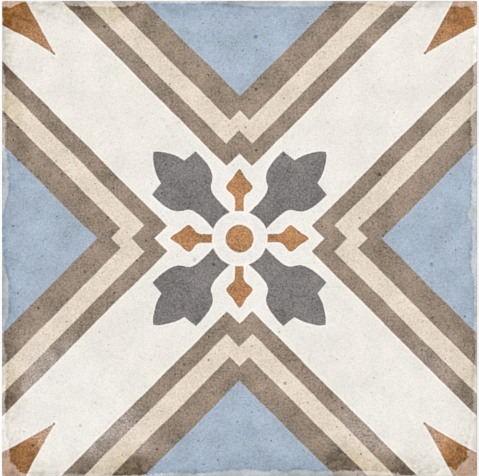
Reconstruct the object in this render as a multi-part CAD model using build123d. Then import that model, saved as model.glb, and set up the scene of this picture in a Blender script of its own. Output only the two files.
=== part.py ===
from build123d import *
from build123d.topology import SkipClean
import os

# Decorative tile, pressed and fired in one piece, lying face up on its back.
# Millimetres. The origin is in the middle of the back, +Z is up through the decorated
# face, and X and Y run along the sides. The face is divided along the outlines of its
# coloured fields, so each field is a face of its own.

# Pressed body
tile_side = 200.0
tile_thickness = 8.5
arris_radius = 0.4  # round along the edge of the decorated face
corner_easing = 0.2  # by which an upright corner is rounder than the arris
press_line_height = 5.0  # where the straight side ends and the drafted one begins
side_draft = 0.6  # by which the side has drawn in at the back

# Keying grid: shallow pockets between ribs on the back, which the adhesive grips
pockets_per_side = 8
back_border = 8.0  # plain border round the grid
rib_width = 4.0
pocket_depth = 0.6
pocket_corner_radius = 1.5
pocket_draft = 0.3  # by which a pocket's walls have drawn in at its floor

# Middle of the pattern: a disc in a clear ring, round which the flower stands
disc_radius = 5.9
ring_radius = 11.75

# Spear: four of them, along the axes, each a stem that flares and comes to a point
spear_stem_width = 3.4
spear_flare_start = 16.4
spear_broadest = 21.5
spear_width = 11.3
spear_waist = (24.4, 3.6)  # a point of the hollow edge between the broadest part and the tip
spear_tip = 29.5

# Leaf: four of them, along the diagonals, each a stem, two barbs and a pointed lobe
leaf_stem_width = 10.2
leaf_flare_start = 20.2
leaf_flank = (25.2, 8.9)  # where the edge turns from hollow to round
leaf_shoulder = (29.0, 11.9)
leaf_barb = (39.0, 13.0)
leaf_notch = (39.7, 7.0)
leaf_lobe = (45.5, 4.85)  # a point of the lobe's round edge
leaf_tip = 51.6

# Nested chevrons: four sets that point inwards from the sides. Widths are along the axis.
chevron_start = 25.1
inner_band_width = 9.6
middle_band_width = 11.1
outer_band_width = 14.1
inner_notch = 10.7  # depth of the notch in each chevron's point
middle_notch = 11.1
outer_notch = 8.2

# Kite: one in each corner, with its point towards the middle
kite_reach = 22.0  # from its point to the corner, along either side
kite_mouth = 10.6  # from the corner to where it leaves the side
kite_hollow = 0.15  # by which its edges are hollow

outline_overrun = 2.0  # by which outlines pass the tile's edge, to be trimmed by it

half_side = tile_side / 2
back_side = tile_side - 2 * side_draft


def square_outline(side, height, radius):
    """A square with round corners, centred on the axis at a height."""
    return Pos(0, 0, height) * RectangleRounded(side, side, radius)


def pressed_body():
    """The plain tile: a drafted lower part, a straight upper part and a rounded arris."""
    corner_radius = arris_radius + corner_easing
    press_line = square_outline(tile_side, press_line_height, corner_radius)
    lower = loft([square_outline(back_side, 0, corner_radius), press_line])
    upper = extrude(press_line, amount=tile_thickness - press_line_height)
    body = lower + upper
    return fillet(body.edges().group_by(Axis.Z)[-1], arris_radius)


def keying_pockets():
    """The pockets between the ribs of the back, in rows and columns."""
    pitch = (back_side - 2 * back_border + rib_width) / pockets_per_side
    mouth_side = pitch - rib_width
    floor_side = mouth_side - 2 * pocket_draft
    pocket = loft(
        [
            square_outline(mouth_side, 0, pocket_corner_radius),
            square_outline(floor_side, pocket_depth, pocket_corner_radius),
        ]
    )
    return GridLocations(pitch, pitch, pockets_per_side, pockets_per_side) * pocket


def mirrored_face(half_edges):
    """A face from the edges of its upper half, which start and end on the X axis."""
    half = Curve() + half_edges
    return make_face(half + mirror(half, about=Plane.XZ))


def spear():
    """A spear along +X, from the middle of the pattern to its tip."""
    stem = spear_stem_width / 2
    broad = (spear_broadest, spear_width / 2)
    flare_start = (spear_flare_start, stem)
    return mirrored_face(
        [
            Polyline((0, 0), (0, stem), flare_start),
            Spline(flare_start, broad, tangents=[(1, 0), (1, 0)]),
            Spline(broad, spear_waist, (spear_tip, 0)),
        ]
    )


def leaf():
    """A leaf along +X, from the middle of the pattern to the tip of its lobe."""
    stem = leaf_stem_width / 2
    flare_start = (leaf_flare_start, stem)
    return mirrored_face(
        [
            Polyline((0, 0), (0, stem), flare_start),
            Spline(flare_start, leaf_flank, leaf_shoulder, leaf_barb, tangents=[(1, 0), (1, 0)]),
            Line(leaf_barb, leaf_notch),
            ThreePointArc(leaf_notch, leaf_lobe, (leaf_tip, 0)),
        ]
    )


def chevron(start, notch=None):
    """All that lies beyond a chevron across +X: edges at 45 degrees, with a notch in the point."""
    end = half_side + outline_overrun
    point = [(start, 0)]
    if notch:
        point = [(start + notch, 0), (start + notch / 2, notch / 2)]
    return mirrored_face([Polyline(*point, (end, end - start), (end, 0))])


def kite():
    """A kite in the tile's corner on the +X and +Y sides, past which it runs on."""
    end = half_side + outline_overrun
    point = Vector(half_side - kite_reach, half_side - kite_reach)
    leaves_side = Vector(half_side, half_side - kite_mouth)
    across = (leaves_side - point).rotate(Axis.Z, 90).normalized()
    middle = (point + leaves_side) / 2 + across * kite_hollow
    edge = ThreePointArc(point, middle, leaves_side)
    border = Polyline(leaves_side, (end, leaves_side.Y), (end, end))
    half = Curve() + [edge, border]
    diagonal = Plane((0, 0, 0), x_dir=(1, 1, 0), z_dir=(1, -1, 0))
    return make_face(half + mirror(half, about=diagonal))


def four(shape, first_angle=0):
    """A shape and its three copies, a quarter turn apart about the middle of the tile."""
    return [Rot(0, 0, first_angle + 90 * quarter) * shape for quarter in range(4)]


def coloured_fields():
    """The fields of the pattern, one by one, in the plane of the back."""
    ring = Circle(ring_radius)
    middle_start = chevron_start + inner_band_width
    outer_start = middle_start + middle_band_width
    beyond = [
        chevron(chevron_start, inner_notch),
        chevron(middle_start, middle_notch),
        chevron(outer_start, outer_notch),
        chevron(outer_start + outer_band_width),
    ]
    fields = [Circle(disc_radius)]
    fields += four(spear() - ring)
    fields += four(leaf() - ring, first_angle=45)
    fields += four(kite())
    for outer, inner in zip(beyond, beyond[1:]):
        fields += four(outer - inner)
    fields += four(beyond[-1])
    return fields


def divided_face(body):
    """The body with its face divided along the fields, by blocks that only stand on it."""
    face = Pos(0, 0, tile_thickness)
    blocks = [extrude(face * field, amount=tile_thickness) for field in coloured_fields()]
    with SkipClean():
        return body.cut(*blocks)


tile = divided_face(pressed_body() - keying_pockets())

os.makedirs("parts", exist_ok=True)
export_step(tile, "parts/tile.step")
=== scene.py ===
import random
from collections import namedtuple

import bmesh
import bpy
from mathutils import Matrix, Vector, noise


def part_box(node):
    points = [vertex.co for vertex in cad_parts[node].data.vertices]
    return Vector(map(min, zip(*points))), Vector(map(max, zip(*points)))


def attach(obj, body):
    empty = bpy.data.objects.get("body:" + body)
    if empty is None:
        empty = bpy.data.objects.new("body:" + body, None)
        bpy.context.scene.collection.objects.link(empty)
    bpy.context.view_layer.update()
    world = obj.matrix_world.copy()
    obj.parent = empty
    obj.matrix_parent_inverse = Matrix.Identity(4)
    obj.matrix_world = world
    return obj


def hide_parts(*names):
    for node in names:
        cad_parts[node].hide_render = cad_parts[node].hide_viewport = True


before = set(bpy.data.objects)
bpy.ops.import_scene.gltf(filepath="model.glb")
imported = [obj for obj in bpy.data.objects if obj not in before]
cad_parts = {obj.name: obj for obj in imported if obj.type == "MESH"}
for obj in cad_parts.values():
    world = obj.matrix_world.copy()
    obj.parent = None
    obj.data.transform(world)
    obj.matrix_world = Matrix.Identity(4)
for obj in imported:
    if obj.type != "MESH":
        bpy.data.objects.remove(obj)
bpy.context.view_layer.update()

# A square tile, pressed and fired in one piece, lying face up. Its face carries a printed
# pattern, worn off along the rim, and its back has a grid of keying pockets.

tile_low, tile_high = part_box("tile")

MM = 0.001

# Pressed body, in metres
SIDE = tile_high.x - tile_low.x
HALF = SIDE / 2
THICKNESS = tile_high.z - tile_low.z
ARRIS_RADIUS = 0.4 * MM
CORNER_RADIUS = 0.6 * MM
ROUNDING_STEPS = 4
PRESS_LINE = 5.0 * MM  # height where the drafted lower side begins
SIDE_DRAFT = 0.6 * MM
SHARP_ANGLE = 0.6  # in radians, past which the edge between two faces stays crisp
LEVEL = 0.99  # share of a level face's normal that points straight up or down
DOWNWARD = 0.5  # share of a normal that points down, past which no mesh line crosses its face
FACING = 0.7  # share of a side's normal that points along its axis

# Keying grid of the back, in metres
POCKETS_PER_SIDE = 8
BACK_BORDER = 8.0 * MM
RIB_WIDTH = 4.0 * MM
POCKET_DEPTH = 0.6 * MM
POCKET_DRAFT = 0.3 * MM
POCKET_CORNER_RADIUS = 1.5 * MM

# Unevenness of the face, in metres
FACE_CELL = 2.0 * MM  # of the mesh on the face
RIM_LINES = (0.4 * MM, 0.9 * MM, 1.6 * MM, 2.6 * MM)  # closer mesh lines, in from the arris
RIM_DROP = 0.06 * MM  # by which the worn rim lies lower
RIM_REACH = 3.5 * MM
RIM_BUMPS = 4.0 * MM  # from one bump of the rim to the next
RIM_UNEVEN = 0.4  # share of the drop that the bumps change
FACE_WAVE = 0.05 * MM
WAVE_LENGTH = 28.0 * MM

# Pores in the face, in metres: how many there are of each width
PORES = {0.6 * MM: 130, 0.8 * MM: 60, 1.0 * MM: 18, 1.3 * MM: 8, 1.6 * MM: 3}
PORE_SEED = 5
PORE_DEPTH = 0.22 * MM
PORE_WALL = 0.12 * MM  # how far a pore narrows on its way down
PORE_FREE_RIM = 4.0 * MM
PORE_SPACING = 5.0 * MM
PORES_ON_GROUND = 0.3  # share of the plain ground's pores that are open
PORE_ASIDE = 0.7  # share of the room in its cell by which a pore may lie off the middle
PORE_STEPS = 2  # facets in each quarter of a pore's mouth
PORE_ROUNDING = 30.0  # percent of the mouth's edges that a rounded corner takes
PORE_MOUTH = 0.7  # marks in the pore attribute
PORE_FLOOR = 1.0
CELL_TOLERANCE = 0.05  # share of its area by which a whole cell may be off

# The flat map for baking, in shares of its width
MAP_FRONT = 0.78
MAP_BACK = 0.19
MAP_GAP = 0.008

# The print, in millimetres from the middle of the tile
DISC_RADIUS = 5.9
RING_RADIUS = 11.75
CHEVRONS = ((25.1, 10.7), (34.6, 11.1), (45.8, 8.2), (59.9, 0.0))  # start, and depth of the notch
KITE_POINT = 109.35  # along the diagonal
KITE_FLARE = 0.25  # half width that it gains in a millimetre
KITE_HOLLOW = 0.0014  # what a millimetre from its point adds to that
KITE_DOT = (110.4, 0.55)  # place and radius of the dot on its point
PRINT_BLUR = 0.55  # width over which one field turns into the next
FIELD_SHADE = (1.15, 0.65)  # how far inside a field the shade of its edge begins and is full
GROUND_SHADE = (-1.0, -0.65)  # the same on the ground, outside the field
GROUND_TONE = (15.0, 60.0)  # radii between which the ground turns from its middle tone
PRINT_SHAKE = ((0.035, 1.0), (0.15, 0.5), (1.1, 0.25))  # waves to the millimetre, and reach
DIAGONAL = 2**0.5

# Half widths of the leaf along the diagonal and of the spear along the axis, in millimetres:
# how far along, and half width. The sharp places are where an outline turns a corner.
LEAF_OUTLINE = (
    (10.0, 5.1), (20.2, 5.25), (23.0, 6.15), (25.3, 9.0), (27.0, 10.8), (30.0, 12.15), (34.0, 12.85),
    (39.1, 13.0), (39.7, 6.95), (43.0, 6.0), (46.7, 4.1), (50.2, 1.5), (51.3, 0.1), (54.0, -1.0),
)
LEAF_SHARP = (39.1, 39.7, 51.3, 54.0)
SPEAR_OUTLINE = (
    (11.0, 1.85), (15.0, 1.85), (16.5, 1.9), (18.0, 2.5), (20.0, 4.7), (21.5, 5.66),
    (23.0, 4.95), (25.3, 2.9), (28.6, 0.75), (29.3, 0.0), (31.0, -1.0),
)
SPEAR_SHARP = (29.3, 31.0)
NO_WIDTH = -1.0  # half width past the tip of a shape
WIDTH_RANGE = 15.0  # what an outline's curve can hold above that

# Where the print is worn off along each side, in millimetres: place along X or Y, and how far in
WORN_TOP = (
    (-100, 2.7), (-95, 2.3), (-91, 0.7), (-76, 0.8), (-70, 2.0), (-47, 2.3), (-42, 1.0), (-28, 0.8),
    (-10, 0.9), (2, 2.0), (22, 2.4), (37, 2.1), (41, 0.8), (53, 0.8), (62, 2.0), (85, 1.6),
    (92, 2.2), (100, 2.5),
)
WORN_BOTTOM = (
    (-100, 1.6), (-90, 0.9), (-75, 0.7), (-66, 1.1), (-53, 0.4), (-42, 0.4), (-34, 1.0), (-15, 1.3),
    (-2, 2.5), (6, 2.6), (11, 1.7), (16, 2.5), (19, 1.6), (25, 2.8), (31, 1.6), (38, 2.1),
    (51, 2.2), (65, 1.4), (73, 0.5), (82, 1.2), (88, 3.7), (92, 2.1), (100, 3.0),
)
WORN_LEFT = (
    (-100, 3.2), (-89, 3.0), (-80, 1.5), (-68, 1.4), (-51, 2.1), (-47, 1.3), (-39, 0.5), (-33, 2.3),
    (-20, 2.7), (-12, 1.0), (-4, 0.2), (10, 0.3), (15, 1.7), (22, 2.8), (35, 1.9), (41, 1.2),
    (48, 1.8), (53, 0.7), (63, 1.5), (72, 0.5), (100, 0.5),
)
WORN_RIGHT = (
    (-100, 3.6), (-89, 3.8), (-80, 2.4), (-68, 1.7), (-57, 1.2), (-46, 0.7), (-40, 1.2), (-16, 1.4),
    (-12, 2.4), (2, 1.9), (7, 2.1), (10, 3.9), (14, 2.2), (22, 2.4), (35, 1.8), (44, 2.5),
    (60, 2.3), (66, 1.4), (76, 1.8), (89, 0.7), (94, 1.4), (100, 1.6),
)
CORNER_LOSS = 7.3  # where two sides meet, what is worn off them together
CORNER_LEAN = (0.014, -0.032)  # what a millimetre to the right or up adds to it
WORN_BLUR = 0.5  # width over which the print ends
PALE_LIP = (-0.1, -0.45, -0.8, -1.6)  # out from the worn edge: begins, is full, fades and ends
PALE_LIP_SHARE = 0.09  # how much paler the worn strip is there
DARK_LIP = (0.1, 0.45, 0.7, 1.4)  # in from the worn edge: begins, is full, fades and ends
DARK_LIP_SHARE = 0.08  # how much darker the print is there
SOOT_REACH = (3.5, 0.0)  # from the rim, in millimetres: where it begins and where it is full
SOOT = 0.04  # share by which it darkens, on average
ARRIS_SHADE_REACH = (0.6, 0.1)  # the same for the painted shade on the arris, where its rounded edge turns from the light
# how much darker the arris is painted, as shade on its rounded edge
ARRIS_SHADE = 0.09

# Stains inside the worn strip: where one begins and where it is full, in millimetres, and how strong
STAIN_REACH = (11.5, 0.5)  # from the worn edge
STAIN_BASE = 0.06
STAIN_PATCHES = 0.36
STAIN_LINE_REACH = (1.7, 0.15)  # of the dark line along the worn edge
STAIN_LINE_BASE = 0.08
STAIN_LINE_PATCHES = 0.5
CORNER_STAIN_REACH = (46.0, 20.0)  # from two sides together
CORNER_STAIN = 0.26
FOOT_STAIN_REACH = (14.0, 6.0)  # from the lower side
FOOT_STAIN = 0.18
DARK_STAINS = ((43.5, -94), (73, -98), (-45, -96), (-99, -70))  # places on the rim
DARK_STAIN_REACH = (13.0, 3.0)
DARK_STAIN = 0.5
STAIN_SPOTS = (0.75, 0.5)  # share of a stain that is even, and what its spots add
RIM_STAIN = 0.83  # share of the stain's strength that shows
RIM_STAIN_LEAN = (-0.0041, 0.0027)  # what a millimetre to the right or up adds to it
RIM_STAIN_TWIST = -0.000053  # what a square millimetre to the right and up adds to it

# Where the print is rubbed pale, near the lower corners, in millimetres: begins, and is full
RUB_HEIGHT = (-5.0, -65.0)  # along Y
RUB_CORNER = (70.0, 54.0)  # from the corner
RUB_RIM = (4.0, 12.0)  # from the worn edge
RUB_LEAN = -0.006  # share by which a millimetre to the right changes it

# Wear of the kites, in millimetres from their points: begins, and is full
KITE_RUB = (16.5, 6.0)
KITE_RUB_UP = 0.1  # share of it in the upper corners
KITE_RUB_RIGHT = 0.65  # share of it in the right-hand corners
KITE_PLACE = 90.0  # how far the kites lie to the right and up, or to the left and down
KITE_ROOT = (12.3, 20.3)  # where the stain in the corner begins and is full
KITE_ROOT_LEAN = (-0.012, -0.012)  # what a millimetre to the right or up adds to the distance
KITE_STAIN = 0.57  # how strong that stain is
KITE_STAIN_LEAN = (-0.0002, -0.0002)  # what a millimetre to the right or up adds to it


def paint(red, green, blue):
    """A colour as it looks on the tile, 0 to 255, as linear light for a shader."""

    def linear(value):
        value /= 255
        return value / 12.92 if value <= 0.04045 else ((value + 0.055) / 1.055) ** 2.4

    return (linear(red), linear(green), linear(blue), 1.0)


# A colour of the print: clean, rubbed pale, stained and worn off, and how strongly the grain, its
# change of hue, the mottling, the blotches of its stains, the pores and the specks show in it.
Pigment = namedtuple("Pigment", "clean rubbed stained worn grain hue mottle blotch pore speck")
CREAM = Pigment(
    clean=paint(236, 232, 224.5),
    rubbed=paint(238, 235, 229),
    stained=paint(221, 214, 203),
    worn=paint(231, 226, 217.5),
    grain=0.0195,
    hue=0.002,
    mottle=0.011,
    blotch=0.06,
    pore=0.24,
    speck=0.1,
)
UMBER = Pigment(
    clean=paint(149, 132, 116),
    rubbed=paint(182, 167, 157),
    stained=paint(94, 78, 58),
    worn=paint(173, 160.5, 150),
    grain=0.095,
    hue=0.006,
    mottle=0.066,
    blotch=0.1,
    pore=0.64,
    speck=0.35,
)
SAND = Pigment(
    clean=paint(226, 213, 196.5),
    rubbed=paint(229, 217, 202),
    stained=paint(197, 179.5, 144),
    worn=paint(220, 209.5, 194.5),
    grain=0.0405,
    hue=0.0025,
    mottle=0.019,
    blotch=0.06,
    pore=0.48,
    speck=0.18,
)
SKY = Pigment(
    clean=paint(166.5, 180.5, 196.5),
    rubbed=paint(171, 185, 198),
    stained=paint(134, 152, 172),
    worn=paint(182.5, 188.5, 192.5),
    grain=0.042,
    hue=0.007,
    mottle=0.034,
    blotch=0.05,
    pore=0.42,
    speck=0.16,
)
SLATE = Pigment(
    clean=paint(124, 119.5, 118),
    rubbed=paint(131, 126, 124),
    stained=paint(104, 99, 96),
    worn=paint(170, 166, 163),
    grain=0.108,
    hue=0.0055,
    mottle=0.05,
    blotch=0.1,
    pore=0.6,
    speck=0.26,
)
OCHRE = Pigment(
    clean=paint(178, 128, 85),
    rubbed=paint(204, 168, 143),
    stained=paint(127, 79, 14),
    worn=paint(192.5, 161, 138),
    grain=0.115,
    hue=0.016,
    mottle=0.06,
    blotch=0.15,
    pore=0.65,
    speck=0.33,
)
CREAM_MIDDLE = paint(238, 235, 230)  # on the ground round the disc
OCHRE_MIDDLE = paint(183, 133, 90)  # on the disc
TONE_LEAN = (0.003, 0.006)  # what a millimetre to the right or up adds to the mottling, so the print is lighter towards the upper right
WORN_SMOOTH = 0.5  # share of the grain that is gone where the print is worn off
WORN_BLOTCH = 0.1  # share of the blotches that shows there

# How a field and the ground round it are shaded where they meet, as shares of red, green and blue
Edge = namedtuple("Edge", "field ground")
UMBER_ON_CREAM = Edge((-0.13, -0.12, -0.11), (0.12, 0.09, 0.075))
SLATE_ON_CREAM = Edge((-0.14, -0.14, -0.14), (0.1, 0.1, 0.1))
OCHRE_ON_CREAM = Edge((-0.2, -0.1, 0.03), (0.16, 0.08, 0.04))
KITE_ON_CREAM = Edge((-0.16, -0.08, 0.04), (0.14, 0.08, 0.05))
SAND_ON_UMBER = Edge((0.05, 0.045, 0.05), (-0.09, -0.09, -0.09))
UMBER_ON_SAND = Edge((-0.12, -0.12, -0.12), (0.085, 0.075, 0.085))
SKY_ON_UMBER = Edge((0.12, 0.04, 0.0), (-0.11, -0.05, 0.0))
NO_EDGE = Edge((0.0, 0.0, 0.0), (0.0, 0.0, 0.0))

# Bare fired clay, with heights in millimetres
CLAY = paint(206, 194, 177)
# darker clay, also the colour of the painted shade in the pockets
CLAY_DARK_AND_POCKET_SHADE = paint(178, 163, 144)
KILN_WASH = paint(226, 221, 211)
CLAY_SPECK = paint(120, 104, 88)
CLAY_GRAIN = 0.05
CLAY_MOTTLE = 0.04
WASH_HEIGHT = (0.25, 0.02)  # where the wash on the ribs begins and is full
WASH_SHARE = 0.8
POCKET_SHADE_HEIGHT = (0.3, 0.58, 0.65, 0.9)  # where the painted shade in the pockets begins, is full, fades and ends
# how strong the painted shade in the pockets is
POCKET_SHADE_SHARE = 0.3
SPECK_SHARE = 0.5
LAP = 0.6  # by which the colour of the face laps down the side
LAP_BLUR = 0.3

# Surfaces: the least roughness and what the grain adds, and the strength and depth of fine relief
Surface = namedtuple("Surface", "roughness grain_adds strength depth")
PRINT_SURFACE = Surface(roughness=0.52, grain_adds=0.16, strength=0.3, depth=0.05 * MM)
CLAY_SURFACE = Surface(roughness=0.72, grain_adds=0.2, strength=0.6, depth=0.08 * MM)
WORN_ROUGHNESS = 0.12  # what wear adds to the roughness of the print
FIRED_GLOSS = 0.25  # level of the faint shine of a fired surface

# Light: the surround and the lamp together show a colour about as it is written
WHITE = (1.0, 1.0, 1.0, 1.0)
SURROUND_LIGHT = 0.7
LAMP_LIGHT = 1.2
LAMP_SPREAD = 0.6  # in radians, as seen from the tile
LAMP_FROM = (-0.55, 0.55, 1.0)

# Floor, in metres
FLOOR_REACH = 3.0
FLOOR_GAP = 0.05 * MM  # by which it clears the ribs of the back
FLOOR_COLOUR = (0.97, 0.97, 0.97, 1.0)
FLOOR_ROUGHNESS = 0.9
FLOOR_PALE = 0.78  # share of it that stays white in the shadow

# The view in the photograph, in its pixels
PHOTO_WIDTH = 479
TILE_IN_PHOTO = 475
TILE_BELOW_MIDDLE = 0.5
LENS = 500  # millimetres
SENSOR = 36

# Noise and shades
NOISE_MIDDLE = (0.5, 0.5, 0.5)
NOISE_GAIN = 16.0  # brings the swing of a noise about its middle to about one
UNSHADED = (1.0, 1.0, 1.0)


class Wiring:
    """Adds nodes to a tree. A value that goes in is a socket to link or a plain setting."""

    MIX_FIRST = 6  # sockets of a Mix node that take and give colours
    MIX_SECOND = 7
    MIX_RESULT = 2

    def __init__(self, tree):
        self.tree = tree

    def add(self, kind, **settings):
        node = self.tree.nodes.new(kind)
        for name, value in settings.items():
            setattr(node, name, value)
        return node

    def feed(self, socket, value):
        if isinstance(value, bpy.types.NodeSocket):
            self.tree.links.new(value, socket)
        else:
            socket.default_value = value

    def math(self, operation, *values, clamp=False):
        node = self.add("ShaderNodeMath", operation=operation, use_clamp=clamp)
        for socket, value in zip(node.inputs, values):
            self.feed(socket, value)
        return node.outputs["Value"]

    def vector_math(self, operation, *values):
        node = self.add("ShaderNodeVectorMath", operation=operation)
        for socket, value in zip(node.inputs, values):
            self.feed(socket, value)
        return node.outputs["Vector"]

    def scaled(self, vector, factor):
        node = self.add("ShaderNodeVectorMath", operation="SCALE")
        self.feed(node.inputs["Vector"], vector)
        self.feed(node.inputs["Scale"], factor)
        return node.outputs["Vector"]

    def length(self, vector):
        node = self.add("ShaderNodeVectorMath", operation="LENGTH")
        self.feed(node.inputs["Vector"], vector)
        return node.outputs["Value"]

    def joined(self, x, y):
        node = self.add("ShaderNodeCombineXYZ")
        self.feed(node.inputs["X"], x)
        self.feed(node.inputs["Y"], y)
        return node.outputs["Vector"]

    def split(self, vector):
        node = self.add("ShaderNodeSeparateXYZ")
        self.feed(node.inputs["Vector"], vector)
        return node.outputs["X"], node.outputs["Y"], node.outputs["Z"]

    def span(self, value, low, high, to_low=0.0, to_high=1.0, smooth=True):
        """The value's place between low and high, held at the ends."""
        kind = "SMOOTHSTEP" if smooth else "LINEAR"
        node = self.add("ShaderNodeMapRange", interpolation_type=kind)
        self.feed(node.inputs["Value"], value)
        self.feed(node.inputs["From Min"], low)
        self.feed(node.inputs["From Max"], high)
        self.feed(node.inputs["To Min"], to_low)
        self.feed(node.inputs["To Max"], to_high)
        return node.outputs["Result"]

    def ridge(self, value, begins, full, fades, ends):
        """One where the value is full, and nothing before it begins or after it ends."""
        return self.product(self.span(value, begins, full), self.span(value, ends, fades))

    def mix(self, share, first, second):
        node = self.add("ShaderNodeMix", data_type="RGBA")
        self.feed(node.inputs["Factor"], share)
        self.feed(node.inputs[self.MIX_FIRST], first)
        self.feed(node.inputs[self.MIX_SECOND], second)
        return node.outputs[self.MIX_RESULT]

    def noise(self, point, scale, detail=2.0, roughness=0.5):
        """A noise texture's outputs, Fac and Color, with scale in spots to the millimetre."""
        node = self.add("ShaderNodeTexNoise")
        self.feed(node.inputs["Vector"], point)
        self.feed(node.inputs["Scale"], scale)
        self.feed(node.inputs["Detail"], detail)
        self.feed(node.inputs["Roughness"], roughness)
        return node.outputs

    def cloud(self, point, scale, low, high, detail=3.0):
        """Soft patches from nothing to one, more of them the lower the limits."""
        return self.span(self.noise(point, scale, detail)["Fac"], low, high)

    def wander(self, point, scale, reach, detail=1.0, roughness=0.5):
        """A value that wanders about zero, mostly within its reach."""
        fac = self.noise(point, scale, detail, roughness)["Fac"]
        return self.math("MULTIPLY", self.math("SUBTRACT", fac, 0.5), 4 * reach)

    def leaning(self, base, x, y, lean):
        """A base, and what each millimetre to the right and up adds to it."""
        return self.math("MULTIPLY_ADD", x, lean[0], self.math("MULTIPLY_ADD", y, lean[1], base))

    def total(self, first, *others):
        for other in others:
            first = self.math("ADD", first, other)
        return first

    def least(self, first, *others):
        for other in others:
            first = self.math("MINIMUM", first, other)
        return first

    def product(self, first, *others):
        for other in others:
            first = self.math("MULTIPLY", first, other)
        return first

    def place(self, group, **inputs):
        """A group's outputs, with its inputs fed by name, spaces written as underscores."""
        node = self.add("ShaderNodeGroup", node_tree=group)
        for name, value in inputs.items():
            self.feed(node.inputs[name.replace("_", " ")], value)
        return node.outputs

    def object_point(self):
        """The place on the piece, in millimetres."""
        return self.scaled(self.add("ShaderNodeTexCoord").outputs["Object"], 1 / MM)


def new_group(name, inputs, outputs):
    """A shader group with named sockets: its tree, wiring, and the sockets inside it."""
    kinds = {"value": "NodeSocketFloat", "colour": "NodeSocketColor", "point": "NodeSocketVector"}
    group = bpy.data.node_groups.new(name, "ShaderNodeTree")
    for direction, sockets in (("INPUT", inputs), ("OUTPUT", outputs)):
        for socket, kind in sockets.items():
            group.interface.new_socket(socket, in_out=direction, socket_type=kinds[kind])
    w = Wiring(group)
    return group, w, w.add("NodeGroupInput").outputs, w.add("NodeGroupOutput").inputs


def new_material(name):
    """A material, with its wiring and its shader."""
    material = bpy.data.materials.new(name)
    material.use_nodes = True
    return material, Wiring(material.node_tree), material.node_tree.nodes["Principled BSDF"]


def profile(w, distance, outline, sharp=()):
    """The width at a distance along an outline, which turns corners at its sharp places."""
    node = w.add("ShaderNodeFloatCurve")
    curve = node.mapping.curves[0]
    first, last = outline[0][0], outline[-1][0]
    for at, width in outline[1:-1]:
        curve.points.new((at - first) / (last - first), (width - NO_WIDTH) / WIDTH_RANGE)
    for end in (0, -1):
        curve.points[end].location.y = (outline[end][1] - NO_WIDTH) / WIDTH_RANGE
    for point, (at, _) in zip(curve.points, outline):
        point.handle_type = "VECTOR" if at in sharp else "AUTO"
    node.mapping.update()
    w.feed(node.inputs["Value"], w.span(distance, first, last, smooth=False))
    return w.math("MULTIPLY_ADD", node.outputs["Value"], WIDTH_RANGE, NO_WIDTH)


def pattern_place_group():
    """Folds the face eight times, as the print repeats, and measures places in it."""
    outputs = dict.fromkeys(("Along", "Across", "Diagonal", "Off Diagonal", "Radius"), "value")
    group, w, given, out = new_group("pattern place", {"Point": "point"}, outputs)
    x, y, _ = w.split(w.vector_math("ABSOLUTE", given["Point"]))
    along = w.math("MAXIMUM", x, y)
    across = w.math("MINIMUM", x, y)
    w.feed(out["Along"], along)
    w.feed(out["Across"], across)
    w.feed(out["Diagonal"], w.math("DIVIDE", w.math("ADD", along, across), DIAGONAL))
    w.feed(out["Off Diagonal"], w.math("DIVIDE", w.math("SUBTRACT", along, across), DIAGONAL))
    squares = w.math("ADD", w.math("MULTIPLY", x, x), w.math("MULTIPLY", y, y))
    w.feed(out["Radius"], w.math("SQRT", squares))
    return group


def chevron_group():
    """How far a place lies inside a chevron with a notch in its point."""
    inputs = dict.fromkeys(("Along", "Across", "Start", "Notch"), "value")
    group, w, given, out = new_group("chevron", inputs, {"Depth": "value"})
    beyond = w.math("SUBTRACT", given["Along"], given["Start"])
    side = w.math("SUBTRACT", beyond, given["Across"])
    notch = w.math("SUBTRACT", w.math("ADD", beyond, given["Across"]), given["Notch"])
    w.feed(out["Depth"], w.math("DIVIDE", w.math("MINIMUM", side, notch), DIAGONAL))
    return group


def laid_field_group():
    """Lays a colour on a ground where its depth is above nothing, with both shaded at the edge."""
    inputs = {"Ground": "colour", "Field": "colour", "Depth": "value"}
    inputs |= {"Edge of Field": "point", "Edge of Ground": "point"}
    group, w, given, out = new_group("laid field", inputs, {"Color": "colour"})
    depth = given["Depth"]

    def shaded(colour, near, shift):
        shade = w.vector_math("ADD", w.scaled(shift, near), UNSHADED)
        return w.vector_math("MULTIPLY", colour, shade)

    field = shaded(given["Field"], w.span(depth, *FIELD_SHADE), given["Edge of Field"])
    ground = shaded(given["Ground"], w.span(depth, *GROUND_SHADE), given["Edge of Ground"])
    share = w.span(depth, -PRINT_BLUR / 2, PRINT_BLUR / 2)
    w.feed(out["Color"], w.mix(share, ground, field))
    return group


# A place near the rim: how far it lies from the nearer of the right and left sides, from the nearer
# of the upper and lower ones, and in from the edge of the worn strip.
RimPlace = namedtuple("RimPlace", "point x y from_side from_end inside")


def rim_place(w, point):
    """Measures a place from the sides and from the jagged edge of the worn strip."""
    x, y, _ = w.split(point)
    half = HALF / MM
    to_right, to_left = w.math("SUBTRACT", half, x), w.math("ADD", half, x)
    to_top, to_bottom = w.math("SUBTRACT", half, y), w.math("ADD", half, y)
    from_side, from_end = w.least(to_right, to_left), w.least(to_top, to_bottom)
    loss = w.leaning(CORNER_LOSS, x, y, CORNER_LEAN)
    loss = w.math("ADD", loss, w.wander(point, scale=0.12, reach=1.5))
    from_corner = w.math("SUBTRACT", w.math("ADD", from_side, from_end), loss)
    inside = w.least(
        w.math("SUBTRACT", to_top, profile(w, x, WORN_TOP)),
        w.math("SUBTRACT", to_bottom, profile(w, x, WORN_BOTTOM)),
        w.math("SUBTRACT", to_left, profile(w, y, WORN_LEFT)),
        w.math("SUBTRACT", to_right, profile(w, y, WORN_RIGHT)),
        w.math("DIVIDE", from_corner, DIAGONAL),
    )
    jags = w.wander(point, scale=0.65, reach=0.8, detail=3.0, roughness=0.65)
    return RimPlace(point, x, y, from_side, from_end, w.math("ADD", inside, jags))


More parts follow.
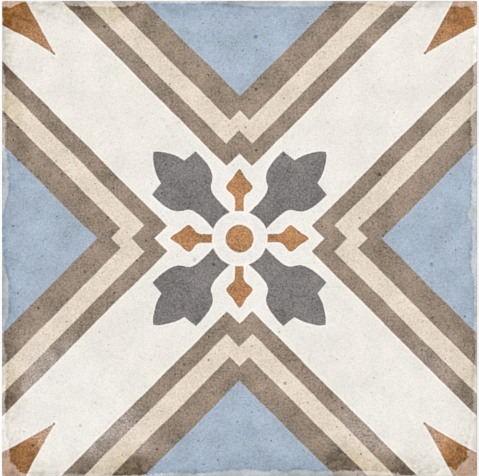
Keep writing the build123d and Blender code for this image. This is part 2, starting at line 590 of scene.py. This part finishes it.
def rim_soot_and_shade(w, rim):
    """Soot in uneven patches along the rim, and painted shade on the arris, where its rounded edge
    turns from the light.
    """
    edge = w.least(rim.from_side, rim.from_end)
    broad = w.wander(rim.point, scale=0.05, reach=0.25)
    small = w.wander(rim.point, scale=0.3, reach=0.15)
    patches = w.product(w.span(edge, *SOOT_REACH), w.total(broad, small, SOOT))
    # the arris is painted darker, as shade on its rounded edge
    return w.math("ADD", patches, w.span(edge, *ARRIS_SHADE_REACH, 0.0, ARRIS_SHADE))


def rim_stain(w, rim):
    """Stains inside the worn strip: a dark line, broad patches and a few darker places."""
    patches = w.cloud(rim.point, scale=0.085, low=0.35, high=0.65)
    spots = w.cloud(rim.point, scale=0.4, low=0.4, high=0.6)
    in_line = w.math("MULTIPLY_ADD", w.product(patches, spots), STAIN_LINE_PATCHES, STAIN_LINE_BASE)
    dark_line = w.product(w.span(rim.inside, *STAIN_LINE_REACH), in_line)

    near_corner = w.span(w.math("ADD", rim.from_side, rim.from_end), *CORNER_STAIN_REACH)
    strength = w.math("MULTIPLY_ADD", patches, STAIN_PATCHES, STAIN_BASE)
    strength = w.math("MULTIPLY_ADD", near_corner, CORNER_STAIN, strength)
    by_corner = w.math("MULTIPLY_ADD", w.product(rim.x, rim.y), RIM_STAIN_TWIST, RIM_STAIN)
    strength = w.product(strength, w.leaning(by_corner, rim.x, rim.y, RIM_STAIN_LEAN))
    to_bottom = w.math("ADD", HALF / MM, rim.y)
    strength = w.math("ADD", strength, w.span(to_bottom, *FOOT_STAIN_REACH, 0.0, FOOT_STAIN))
    broad = w.product(w.span(rim.inside, *STAIN_REACH), strength)
    for place in DARK_STAINS:
        away = w.length(w.vector_math("SUBTRACT", rim.point, (*place, THICKNESS / MM)))
        broad = w.math("ADD", broad, w.span(away, *DARK_STAIN_REACH, 0.0, DARK_STAIN))
    even, spotted = STAIN_SPOTS
    broad = w.product(broad, w.math("MULTIPLY_ADD", spots, spotted, even))
    return w.math("ADD", dark_line, broad, clamp=True)


def corner_rub(w, rim):
    """How far the print is rubbed pale, clear of the rim near the lower corners."""
    lower = w.span(rim.y, *RUB_HEIGHT, smooth=False)
    near_corner = w.span(w.length(w.joined(rim.from_side, rim.from_end)), *RUB_CORNER)
    clear_of_rim = w.span(rim.inside, *RUB_RIM)
    patches = w.noise(rim.point, scale=0.1)["Fac"]
    uneven = w.span(patches, low=0.3, high=0.55, to_low=0.45)
    to_left = w.math("MULTIPLY_ADD", rim.x, RUB_LEAN, 1.0)
    return w.product(lower, near_corner, clear_of_rim, uneven, to_left)


def rim_wear_group():
    """Where the print is worn off at the rim, chipped, sooty and stained there, painted darker on the
    arris as shade, and rubbed pale.
    """
    outputs = dict.fromkeys(("Wear", "Chip", "Soot", "Stain", "Rub"), "value")
    group, w, given, out = new_group("rim wear", {"Point": "point"}, outputs)
    rim = rim_place(w, given["Point"])
    w.feed(out["Wear"], w.span(rim.inside, WORN_BLUR / 2, -WORN_BLUR / 2))
    pale_lip = w.product(w.ridge(rim.inside, *PALE_LIP), PALE_LIP_SHARE)
    dark_lip = w.product(w.ridge(rim.inside, *DARK_LIP), DARK_LIP_SHARE)
    w.feed(out["Chip"], w.math("SUBTRACT", pale_lip, dark_lip))
    w.feed(out["Soot"], rim_soot_and_shade(w, rim))
    w.feed(out["Stain"], rim_stain(w, rim))
    w.feed(out["Rub"], corner_rub(w, rim))
    return group


def grain_group():
    """Grain, mottling and blotches, as shifts of a colour about zero, with specks and relief."""
    outputs = dict.fromkeys(("Grain", "Hue", "Mottle", "Blotch"), "colour")
    outputs |= {"Speck": "value", "Height": "value"}
    group, w, given, out = new_group("grain", {"Point": "point"}, outputs)
    point = given["Point"]

    def shift(scale, detail, roughness, tint):
        spots = w.noise(point, scale, detail, roughness)
        coloured = w.mix(tint, spots["Fac"], spots["Color"])
        return w.scaled(w.vector_math("SUBTRACT", coloured, NOISE_MIDDLE), NOISE_GAIN)

    w.feed(out["Grain"], shift(scale=1.5, detail=0.6, roughness=0.5, tint=0.04))
    w.feed(out["Hue"], shift(scale=0.42, detail=1.0, roughness=0.5, tint=1.0))
    x, y, _ = w.split(point)
    mottle = shift(scale=0.09, detail=1.6, roughness=0.5, tint=0.04)
    # the mottling, with the print lighter towards the upper right
    w.feed(out["Mottle"], w.vector_math("ADD", mottle, w.leaning(0.0, x, y, TONE_LEAN)))
    w.feed(out["Blotch"], shift(scale=0.5, detail=2.0, roughness=0.6, tint=0.08))
    w.feed(out["Speck"], w.cloud(point, scale=0.9, low=0.7, high=0.77, detail=0.0))
    w.feed(out["Height"], w.noise(point, scale=1.5, detail=2.0, roughness=0.6)["Fac"])
    return group


def pigment_group():
    """One colour of the print with its grain, mottling, pores, stains, soot and wear, and painted
    shade on the arris.
    """
    inputs = dict.fromkeys(("Clean", "Rubbed", "Stained", "Worn"), "colour")
    inputs |= dict.fromkeys(("Grain", "Hue", "Mottle", "Blotch"), "colour")
    strengths = ("Grain Strength", "Hue Strength", "Mottle Strength", "Blotch Strength")
    inputs |= dict.fromkeys(strengths, "value")
    inputs |= dict.fromkeys(("Rub", "Stain", "Wear", "Chip", "Soot", "Pore"), "value")
    group, w, given, out = new_group("pigment", inputs, {"Color": "colour"})
    colour = w.mix(given["Rub"], given["Clean"], given["Rubbed"])
    colour = w.mix(given["Stain"], colour, given["Stained"])
    colour = w.mix(given["Wear"], colour, given["Worn"])

    smoothed = w.math("MULTIPLY_ADD", given["Wear"], -WORN_SMOOTH, 1.0)
    grain = w.scaled(given["Grain"], w.product(given["Grain Strength"], smoothed))
    hue = w.scaled(given["Hue"], given["Hue Strength"])
    mottle = w.scaled(given["Mottle"], given["Mottle Strength"])
    printed = w.math("SUBTRACT", 1.0, given["Wear"])
    soiled = w.product(given["Stain"], printed)
    soiled = w.math("MULTIPLY_ADD", given["Wear"], WORN_BLOTCH, soiled)
    blotch = w.scaled(given["Blotch"], w.product(given["Blotch Strength"], soiled))
    shade = UNSHADED
    for change in (grain, hue, mottle, blotch):
        shade = w.vector_math("ADD", shade, change)
    shade = w.scaled(shade, w.math("ADD", 1.0, given["Chip"]))
    shade = w.scaled(shade, w.math("SUBTRACT", 1.0, given["Pore"]))
    # soot along the rim, and painted shade on the arris
    shade = w.scaled(shade, w.math("SUBTRACT", 1.0, given["Soot"]))
    w.feed(out["Color"], w.vector_math("MULTIPLY", colour, shade))
    return group


def set_surface(w, shader, surface, colour, grain, worn=0.0):
    """A matt fired surface: its colour, its roughness, a faint gloss and the grain's relief."""
    w.feed(shader.inputs["Base Color"], colour)
    roughness = w.math("MULTIPLY_ADD", grain["Height"], surface.grain_adds, surface.roughness)
    w.feed(shader.inputs["Roughness"], w.math("MULTIPLY_ADD", worn, WORN_ROUGHNESS, roughness))
    shader.inputs["Specular IOR Level"].default_value = FIRED_GLOSS
    bump = w.add("ShaderNodeBump")
    w.feed(bump.inputs["Height"], grain["Height"])
    bump.inputs["Strength"].default_value = surface.strength
    bump.inputs["Distance"].default_value = surface.depth
    w.feed(shader.inputs["Normal"], bump.outputs["Normal"])


def shaken(w, point):
    """The place in the pattern that shows at a point, as the lines of the print waver."""
    drawn = point
    for scale, reach in PRINT_SHAKE:
        shake = w.vector_math("SUBTRACT", w.noise(point, scale)["Color"], NOISE_MIDDLE)
        drawn = w.vector_math("ADD", drawn, w.scaled(shake, reach))
    return drawn


# How far a place lies from the middle of the pattern, past a kite's point and inside each field
Fields = namedtuple("Fields", "radius into_kite disc leaf spear kite dot chevrons")


def pattern_fields(w, groups, point):
    """Measures a place against the outlines of the pattern."""
    place = w.place(groups["place"], Point=point)
    along, across, radius = place["Along"], place["Across"], place["Radius"]
    diagonal, off_diagonal = place["Diagonal"], place["Off Diagonal"]
    outside_ring = w.math("SUBTRACT", radius, RING_RADIUS)
    leaf = w.math("SUBTRACT", profile(w, diagonal, LEAF_OUTLINE, LEAF_SHARP), off_diagonal)
    spear = w.math("SUBTRACT", profile(w, along, SPEAR_OUTLINE, SPEAR_SHARP), across)
    into_kite = w.math("SUBTRACT", diagonal, KITE_POINT)
    flare = w.math("MULTIPLY_ADD", into_kite, KITE_HOLLOW, KITE_FLARE)
    kite = w.math("SUBTRACT", w.math("MULTIPLY", into_kite, flare), off_diagonal)
    dot_place, dot_radius = KITE_DOT
    from_dot = w.joined(w.math("SUBTRACT", diagonal, dot_place), off_diagonal)
    chevrons = [
        w.place(groups["chevron"], Along=along, Across=across, Start=start, Notch=notch)["Depth"]
        for start, notch in CHEVRONS
    ]
    return Fields(
        radius=radius,
        into_kite=into_kite,
        disc=w.math("SUBTRACT", DISC_RADIUS, radius),
        leaf=w.math("MINIMUM", leaf, outside_ring),
        spear=w.math("MINIMUM", spear, outside_ring),
        kite=w.math("MINIMUM", kite, into_kite),
        dot=w.math("SUBTRACT", dot_radius, w.length(from_dot)),
        chevrons=chevrons,
    )


def kite_wear(w, point, into_kite):
    """How far a kite is rubbed at its point, and stained in the corner of the tile."""
    right, up, _ = w.split(point)
    lower = w.span(up, KITE_PLACE, -KITE_PLACE, KITE_RUB_UP, 1.0, smooth=False)
    left = w.span(right, KITE_PLACE, -KITE_PLACE, KITE_RUB_RIGHT, 1.0, smooth=False)
    rub = w.product(w.span(into_kite, *KITE_RUB), lower, left)
    root = w.span(w.leaning(into_kite, right, up, KITE_ROOT_LEAN), *KITE_ROOT)
    return rub, w.product(root, w.leaning(KITE_STAIN, right, up, KITE_STAIN_LEAN))


def printed_face(groups):
    """The decorated face: the print in its colours, matt, worn along the rim."""
    material, w, shader = new_material("printed_face")
    point = w.object_point()
    fields = pattern_fields(w, groups, shaken(w, point))
    rim = w.place(groups["rim"], Point=point)
    grain = w.place(groups["grain"], Point=point)
    pore = w.add("ShaderNodeAttribute", attribute_name="pore").outputs["Fac"]
    pore = w.span(pore, PORE_MOUTH, PORE_FLOOR)

    def pigment(kind, clean=None, rub=None, stain=None):
        pits = w.product(pore, kind.pore)
        specks = w.product(grain["Speck"], kind.speck)
        return w.place(
            groups["pigment"],
            Clean=clean or kind.clean,
            Rubbed=kind.rubbed,
            Stained=kind.stained,
            Worn=kind.worn,
            Grain=grain["Grain"],
            Grain_Strength=kind.grain,
            Hue=grain["Hue"],
            Hue_Strength=kind.hue,
            Mottle=grain["Mottle"],
            Mottle_Strength=kind.mottle,
            Blotch=grain["Blotch"],
            Blotch_Strength=kind.blotch,
            Rub=rub or rim["Rub"],
            Stain=stain or rim["Stain"],
            Wear=rim["Wear"],
            Chip=rim["Chip"],
            Soot=rim["Soot"],
            Pore=w.math("MAXIMUM", pits, specks),
        )["Color"]

    kite_rub, kite_stain = kite_wear(w, point, fields.into_kite)
    kite_stain = w.math("MAXIMUM", rim["Stain"], kite_stain)
    kite_ochre = pigment(OCHRE, rub=kite_rub, stain=kite_stain)
    umber, ochre, slate = pigment(UMBER), pigment(OCHRE), pigment(SLATE)
    ground = w.mix(w.span(fields.radius, *GROUND_TONE), CREAM_MIDDLE, CREAM.clean)
    colour = pigment(CREAM, clean=ground)
    inner_band, middle_band, outer_band, side_point = fields.chevrons
    for depth, field, edge in (
        (fields.disc, pigment(OCHRE, clean=OCHRE_MIDDLE), OCHRE_ON_CREAM),
        (fields.leaf, slate, SLATE_ON_CREAM),
        (fields.spear, ochre, OCHRE_ON_CREAM),
        (fields.kite, kite_ochre, KITE_ON_CREAM),
        (fields.dot, slate, NO_EDGE),
        (inner_band, umber, UMBER_ON_CREAM),
        (middle_band, pigment(SAND), SAND_ON_UMBER),
        (outer_band, umber, UMBER_ON_SAND),
        (side_point, pigment(SKY), SKY_ON_UMBER),
    ):
        laid = w.place(
            groups["field"],
            Ground=colour,
            Field=field,
            Depth=depth,
            Edge_of_Field=edge.field,
            Edge_of_Ground=edge.ground,
        )
        colour = laid["Color"]
    set_surface(w, shader, PRINT_SURFACE, colour, grain, worn=rim["Wear"])
    return material


def fired_body(groups):
    """The bare fired clay of the sides and the back, with kiln wash on its ribs and painted shade in
    its pockets.
    """
    material, w, shader = new_material("fired_body")
    point = w.object_point()
    _, _, height = w.split(point)
    grain = w.place(groups["grain"], Point=point)

    colour = w.mix(w.cloud(point, scale=0.05, low=0.4, high=0.7), CLAY, CLAY_DARK_AND_POCKET_SHADE)
    wash = w.product(w.span(height, *WASH_HEIGHT), w.cloud(point, scale=0.22, low=0.35, high=0.55))
    colour = w.mix(w.product(wash, WASH_SHARE), colour, KILN_WASH)
    # painted shade in the pockets, where less light reaches
    pocket_shade = w.ridge(height, *POCKET_SHADE_HEIGHT)
    colour = w.mix(w.product(pocket_shade, POCKET_SHADE_SHARE), colour, CLAY_DARK_AND_POCKET_SHADE)
    specks = w.cloud(point, scale=1.3, low=0.7, high=0.74, detail=0.0)
    colour = w.mix(w.product(specks, SPECK_SHARE), colour, CLAY_SPECK)
    lap_edge = w.wander(point, scale=0.35, reach=0.5, detail=3.0)
    lap_edge = w.math("ADD", lap_edge, (THICKNESS - ARRIS_RADIUS) / MM - LAP)
    lap = w.span(w.math("SUBTRACT", height, lap_edge), -LAP_BLUR / 2, LAP_BLUR / 2)
    colour = w.mix(lap, colour, CREAM.worn)

    fine = w.scaled(grain["Grain"], CLAY_GRAIN)
    broad = w.scaled(grain["Mottle"], CLAY_MOTTLE)
    shade = w.vector_math("ADD", w.vector_math("ADD", fine, broad), UNSHADED)
    set_surface(w, shader, CLAY_SURFACE, w.vector_math("MULTIPLY", colour, shade), grain)
    return material


def part_of(faces):
    """Faces with their edges and corners, as one list without repeats."""
    edges = {edge for face in faces for edge in face.edges}
    verts = {vert for face in faces for vert in face.verts}
    return [*verts, *edges, *faces]


def from_middle(place):
    """How far a place lies from the middle of the tile, along X or Y, whichever is more."""
    return max(abs(place.x), abs(place.y))


def cut_lines(bm, chosen, lines):
    """Cuts the chosen faces along lines across both axes."""
    for axis in (Vector((1, 0, 0)), Vector((0, 1, 0))):
        for line in lines:
            faces = [face for face in bm.faces if chosen(face)]
            bmesh.ops.bisect_plane(bm, geom=part_of(faces), plane_co=axis * line, plane_no=axis)


def round_off(bm, geom, offset, affect, steps=ROUNDING_STEPS, kind="OFFSET"):
    """Rounds edges, or the corners of a face, in a few steps."""
    bmesh.ops.bevel(
        bm,
        geom=geom,
        offset=offset,
        offset_type=kind,
        segments=steps,
        profile=0.5,
        affect=affect,
        material=-1,
    )


def is_back(face):
    """Whether a face points straight down."""
    return face.normal.z < -LEVEL


def is_level(face):
    """Whether a face points straight up."""
    return face.normal.z > LEVEL


def press_blank(bm):
    """The slab: round upright corners, drafted lower sides and a rounded arris."""
    middle = Matrix.Translation((0, 0, THICKNESS / 2))
    block = Matrix.Diagonal((SIDE, SIDE, THICKNESS, 1))
    bmesh.ops.create_cube(bm, size=1.0, matrix=middle @ block)
    upright = [e for e in bm.edges if abs(e.verts[0].co.z - e.verts[1].co.z) > PRESS_LINE]
    round_off(bm, upright, CORNER_RADIUS, "EDGES")
    bmesh.ops.bisect_plane(
        bm, geom=part_of(bm.faces), plane_co=(0, 0, PRESS_LINE), plane_no=(0, 0, 1)
    )
    foot = [v for v in bm.verts if v.co.z < PRESS_LINE / 2]
    drawn_in = 1 - SIDE_DRAFT / HALF
    bmesh.ops.scale(bm, vec=(drawn_in, drawn_in, 1), verts=foot)
    bm.normal_update()
    brim = [e for e in bm.edges if all(v.co.z > THICKNESS - ARRIS_RADIUS for v in e.verts)]
    round_off(bm, brim, ARRIS_RADIUS, "EDGES")


def key_back(bm):
    """The pockets of the back: cells between the middles of the ribs, set in and pushed up."""
    pitch = (SIDE - 2 * (SIDE_DRAFT + BACK_BORDER) + RIB_WIDTH) / POCKETS_PER_SIDE
    rib_middles = [(i - POCKETS_PER_SIDE / 2) * pitch for i in range(POCKETS_PER_SIDE + 1)]
    cut_lines(bm, is_back, rib_middles)
    grid_end = rib_middles[-1]
    backs = [f for f in bm.faces if is_back(f)]
    cells = [f for f in backs if from_middle(f.calc_center_median()) < grid_end]
    bmesh.ops.inset_individual(bm, faces=cells, thickness=RIB_WIDTH / 2, use_even_offset=True)
    round_off(bm, [v for f in cells for v in f.verts], POCKET_CORNER_RADIUS, "VERTICES")
    mouth_corners = 4 * (ROUNDING_STEPS + 1)
    mouths = [f for f in bm.faces if is_back(f) and len(f.verts) == mouth_corners]
    bmesh.ops.inset_individual(
        bm, faces=mouths, thickness=POCKET_DRAFT, depth=-POCKET_DEPTH, use_even_offset=True
    )


def grid_face(bm):
    """Mesh lines across the face, its arris and its sides, closer together at the rim."""
    flat = HALF - ARRIS_RADIUS
    cells = int(flat / FACE_CELL)
    lines = [i * FACE_CELL for i in range(1 - cells, cells)]
    lines += [end * (flat - inset) for inset in RIM_LINES for end in (-1, 1)]
    cut_lines(bm, lambda face: face.normal.z > -DOWNWARD, lines)


def on_ground(place):
    """Whether a place on the face lies on the plain ground, outside the chevrons."""
    along, across = from_middle(place), min(abs(place.x), abs(place.y))
    return along - across < CHEVRONS[0][0] * MM


def is_whole_cell(face):
    """Whether a face is a whole cell of the mesh on the face, clear of the rim."""
    whole = abs(face.calc_area() / FACE_CELL**2 - 1) < CELL_TOLERANCE
    clear = from_middle(face.calc_center_median()) < HALF - PORE_FREE_RIM
    return is_level(face) and whole and clear


def choose_cells(bm, dice):
    """As many cells of the face as there are pores, well apart, with fewer on the plain ground."""
    cells = [f for f in bm.faces if is_whole_cell(f)]
    dice.shuffle(cells)
    cells = [
        f for f in cells
        if not on_ground(f.calc_center_median()) or dice.random() < PORES_ON_GROUND
    ]
    chosen = []
    while len(chosen) < sum(PORES.values()):
        cell = cells.pop()
        middle = cell.calc_center_median()
        if all((middle - other.calc_center_median()).length > PORE_SPACING for other in chosen):
            chosen.append(cell)
    return chosen


def open_pores(bm):
    """Small round pits in the face, each set into a cell of its mesh."""
    dice = random.Random(PORE_SEED)
    mark = bm.verts.layers.float.new("pore")
    chosen = choose_cells(bm, dice)
    corners = []
    for width, count in PORES.items():
        pits = [chosen.pop() for _ in range(count)]
        spare = (FACE_CELL - width) / 2
        bmesh.ops.inset_individual(bm, faces=pits, thickness=spare, use_even_offset=True)
        for pit in pits:
            aside = Vector((dice.uniform(-1, 1), dice.uniform(-1, 1), 0)) * spare * PORE_ASIDE
            bmesh.ops.translate(bm, vec=aside, verts=pit.verts)
            corners += pit.verts
    round_off(bm, corners, PORE_ROUNDING, "VERTICES", steps=PORE_STEPS, kind="PERCENT")
    mouth_corners = 4 * (PORE_STEPS + 1)
    mouths = [f for f in bm.faces if is_level(f) and len(f.verts) == mouth_corners]
    for vert in {v for f in mouths for v in f.verts}:
        vert[mark] = PORE_MOUTH
    bmesh.ops.inset_individual(
        bm, faces=mouths, thickness=PORE_WALL, depth=-PORE_DEPTH, use_even_offset=True
    )
    for vert in {v for f in mouths for v in f.verts}:
        vert[mark] = PORE_FLOOR


def wear_face(bm):
    """Lets the face wave a little and sink towards its worn rim."""
    for vert in bm.verts:
        up_arris = (vert.co.z - THICKNESS) / ARRIS_RADIUS + 1
        if up_arris <= 0:
            continue
        wave = 0.5 + 0.5 * noise.noise(vert.co / WAVE_LENGTH)
        near_rim = max(0.0, 1 - (HALF - from_middle(vert.co)) / RIM_REACH)
        worn = near_rim * (1 - RIM_UNEVEN + RIM_UNEVEN * noise.noise(vert.co / RIM_BUMPS))
        vert.co.z -= up_arris * (FACE_WAVE * wave + RIM_DROP * worn)


def is_printed(face):
    """Whether a face belongs to the decorated face or its arris."""
    return face.calc_center_median().z > THICKNESS - ARRIS_RADIUS


def side_of(face):
    """The side that a face belongs to: 0 in front, 1 on the right, 2 behind and 3 on the left."""
    if face.normal.y < -FACING:
        return 0
    if face.normal.x > FACING:
        return 1
    if face.normal.y > FACING:
        return 2
    return 3


def lay_out_map(bm):
    """A flat map of the surface for baking, in which the decorated face is the largest."""
    layer = bm.loops.layers.uv.new("OFBake")
    strip = THICKNESS / SIDE * MAP_FRONT + MAP_GAP
    past_front = MAP_FRONT + 2 * MAP_GAP
    for face in bm.faces:
        side = side_of(face)
        for loop in face.loops:
            x, y, z = loop.vert.co / SIDE
            if is_printed(face):
                place = MAP_GAP + (x + 0.5) * MAP_FRONT, MAP_GAP + (y + 0.5) * MAP_FRONT
            elif face.calc_center_median().z < PRESS_LINE / 4:
                place = past_front + (x + 0.5) * MAP_BACK, MAP_GAP + (y + 0.5) * MAP_BACK
            else:
                run = x if side in (0, 2) else y
                place = MAP_GAP + (run + 0.5) * MAP_FRONT, past_front + side * strip + z * MAP_FRONT
            loop[layer].uv = place


def make_tile(groups):
    """The fired tile, as one closed mesh with the print on its face."""
    bm = bmesh.new()
    press_blank(bm)
    key_back(bm)
    grid_face(bm)
    open_pores(bm)
    wear_face(bm)
    bm.normal_update()
    lay_out_map(bm)
    for face in bm.faces:
        face.smooth = True
        face.material_index = 0 if is_printed(face) else 1
    mesh = bpy.data.meshes.new("patterned_tile")
    bm.to_mesh(mesh)
    bm.free()
    mesh.set_sharp_from_angle(angle=SHARP_ANGLE)
    mesh.materials.append(printed_face(groups))
    mesh.materials.append(fired_body(groups))
    tile = bpy.data.objects.new("patterned_tile", mesh)
    bpy.context.scene.collection.objects.link(tile)
    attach(tile, "root")
    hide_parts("tile")


def seen_directly(w):
    """One for rays that show a surface or a reflection of it, nothing for rays that light."""
    path = w.add("ShaderNodeLightPath").outputs
    seen = w.math("MAXIMUM", path["Is Camera Ray"], path["Is Glossy Ray"])
    return w.math("MAXIMUM", seen, path["Is Transmission Ray"])


def white_floor():
    """Plain white that keeps a soft shadow, clear from below and to rays that light."""
    material, w, shader = new_material("floor_white")
    shader.inputs["Base Color"].default_value = FLOOR_COLOUR
    shader.inputs["Roughness"].default_value = FLOOR_ROUGHNESS
    shader.inputs["Specular IOR Level"].default_value = 0.0
    white = w.add("ShaderNodeEmission")
    pale = w.add("ShaderNodeMixShader")
    pale.inputs["Fac"].default_value = FLOOR_PALE
    w.feed(pale.inputs[1], shader.outputs["BSDF"])
    w.feed(pale.inputs[2], white.outputs["Emission"])
    from_above = w.math("SUBTRACT", 1.0, w.add("ShaderNodeNewGeometry").outputs["Backfacing"])
    clear = w.add("ShaderNodeMixShader")
    w.feed(clear.inputs["Fac"], w.product(seen_directly(w), from_above))
    w.feed(clear.inputs[1], w.add("ShaderNodeBsdfTransparent").outputs["BSDF"])
    w.feed(clear.inputs[2], pale.outputs["Shader"])
    w.feed(material.node_tree.nodes["Material Output"].inputs["Surface"], clear.outputs["Shader"])
    return material


def lay_floor():
    """A broad floor just below the tile."""
    bm = bmesh.new()
    just_below = Matrix.Translation((0, 0, -FLOOR_GAP))
    bmesh.ops.create_grid(bm, x_segments=1, y_segments=1, size=FLOOR_REACH, matrix=just_below)
    mesh = bpy.data.meshes.new("floor")
    bm.to_mesh(mesh)
    bm.free()
    mesh.materials.append(white_floor())
    floor = bpy.data.objects.new("floor", mesh)
    bpy.context.scene.collection.objects.link(floor)


def light_studio():
    """An even white surround and one soft lamp from the upper left."""
    world = bpy.data.worlds.new("studio")
    world.use_nodes = True
    w = Wiring(world.node_tree)
    surround = world.node_tree.nodes["Background"]
    surround.inputs["Color"].default_value = WHITE
    strength = w.span(seen_directly(w), 0.0, 1.0, SURROUND_LIGHT, 1.0, smooth=False)
    w.feed(surround.inputs["Strength"], strength)
    bpy.context.scene.world = world
    lamp = bpy.data.lights.new("lamp", "SUN")
    lamp.energy = LAMP_LIGHT
    lamp.angle = LAMP_SPREAD
    holder = bpy.data.objects.new("lamp", lamp)
    holder.rotation_euler = Vector(LAMP_FROM).to_track_quat("Z", "Y").to_euler()
    bpy.context.scene.collection.objects.link(holder)


def aim_camera():
    """Straight above the face, through a long lens, framed as in the photograph."""
    camera = bpy.data.cameras.new("camera")
    camera.lens = LENS
    camera.sensor_width = SENSOR
    camera.sensor_fit = "HORIZONTAL"
    pixel = SIDE / TILE_IN_PHOTO
    above = LENS / SENSOR * PHOTO_WIDTH * pixel
    holder = bpy.data.objects.new("camera", camera)
    rim_height = THICKNESS - ARRIS_RADIUS
    holder.location = (0, TILE_BELOW_MIDDLE * pixel, rim_height + above)
    bpy.context.scene.collection.objects.link(holder)
    bpy.context.scene.camera = holder


bpy.context.scene.view_settings.view_transform = "Standard"
make_tile(
    {
        "place": pattern_place_group(),
        "chevron": chevron_group(),
        "field": laid_field_group(),
        "rim": rim_wear_group(),
        "grain": grain_group(),
        "pigment": pigment_group(),
    }
)
lay_floor()
light_studio()
aim_camera()
